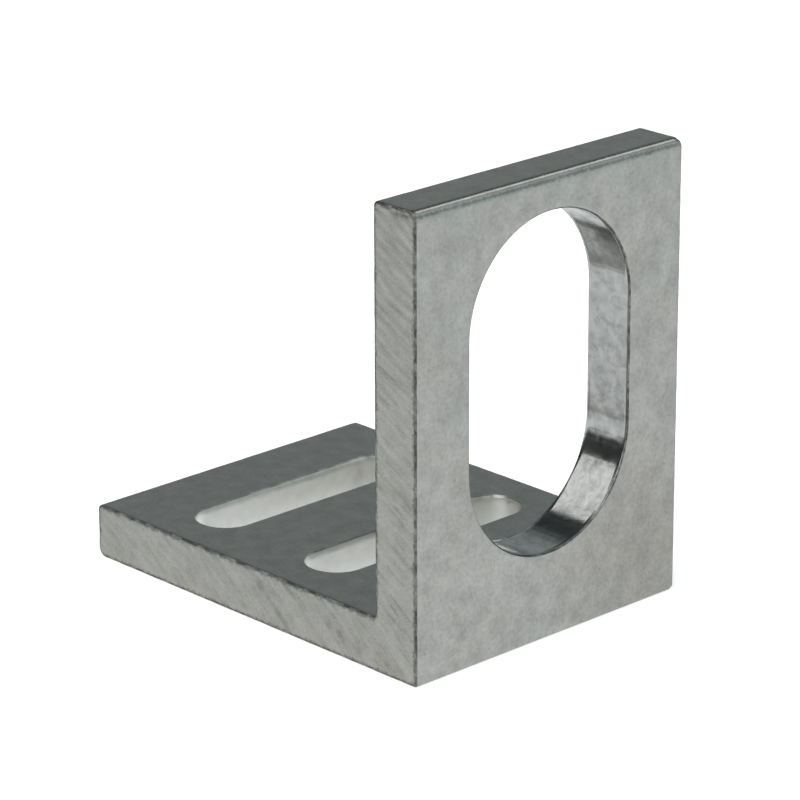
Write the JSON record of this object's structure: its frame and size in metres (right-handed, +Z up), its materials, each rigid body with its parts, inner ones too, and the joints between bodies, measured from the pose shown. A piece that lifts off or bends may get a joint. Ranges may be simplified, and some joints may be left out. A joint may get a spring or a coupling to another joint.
{
  "type": "sensor angle bracket",
  "caption": "L-shaped aluminium bracket: a wide slot in the upright clamps a threaded barrel sensor at any height, and narrow slots in the foot take the fixing screws.",
  "frame": {"origin": "middle of the underside of the bracket's outline, on the surface that the foot stands on", "axes": "+X along the foot, out of the upright's outer face; +Y along the extrusion, across the bracket's width; +Z up the upright"},
  "size_m": [0.04, 0.0304, 0.04],
  "materials": {
    "tumbled_aluminium": "sawn and tumbled, matt grey"
  },
  "bodies": {
    "root": {"angle_bracket": "tumbled_aluminium"}
  },
  "joints": []
}
